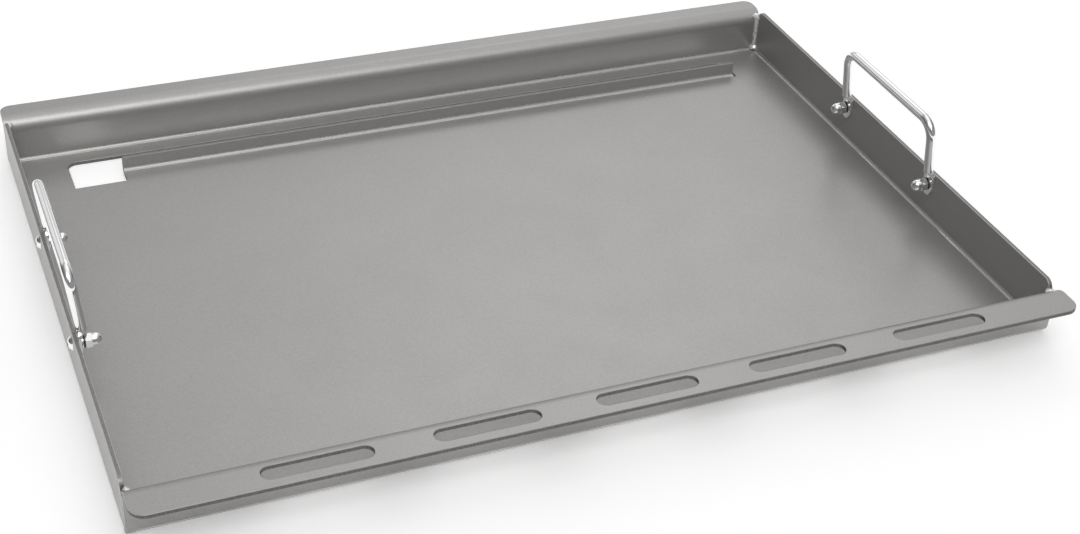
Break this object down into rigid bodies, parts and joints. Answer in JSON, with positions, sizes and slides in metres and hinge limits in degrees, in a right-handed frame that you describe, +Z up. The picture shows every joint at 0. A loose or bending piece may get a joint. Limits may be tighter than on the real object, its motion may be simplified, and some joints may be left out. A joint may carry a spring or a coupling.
{
  "type": "camp griddle plate",
  "caption": "Wide folded sheet steel griddle pan with a rear grease dam and drain opening, a slotted front flange and a bolted rod handle on each side.",
  "frame": {"origin": "middle of the pan's underside, halfway between its outer wall faces", "axes": "+X to the right along the slotted front flange, +Y from the flange to the rear wall, +Z up out of the pan"},
  "size_m": [0.6958, 0.5265, 0.0931],
  "materials": {
    "steel_sheet": "satin mill finish with a fine speckle and darker cut edges",
    "bright_plate": "bright plating",
    "weld_metal": "bare weld bead"
  },
  "bodies": {
    "root": {"griddle_pan": "steel_sheet", "left_handle": "bright_plate", "right_handle": "bright_plate", "left_front_bolt": "bright_plate", "left_front_flat_washer": "bright_plate", "left_front_lock_washer": "bright_plate", "left_front_acorn_nut": "bright_plate", "left_rear_bolt": "bright_plate", "left_rear_flat_washer": "bright_plate", "left_rear_lock_washer": "bright_plate", "left_rear_acorn_nut": "bright_plate", "right_front_bolt": "bright_plate", "right_front_flat_washer": "bright_plate", "right_front_lock_washer": "bright_plate", "right_front_acorn_nut": "bright_plate", "right_rear_bolt": "bright_plate", "right_rear_flat_washer": "bright_plate", "right_rear_lock_washer": "bright_plate", "right_rear_acorn_nut": "bright_plate", "left_front_weld": "weld_metal", "left_rear_weld": "weld_metal", "right_front_weld": "weld_metal", "right_rear_weld": "weld_metal"}
  },
  "joints": []
}
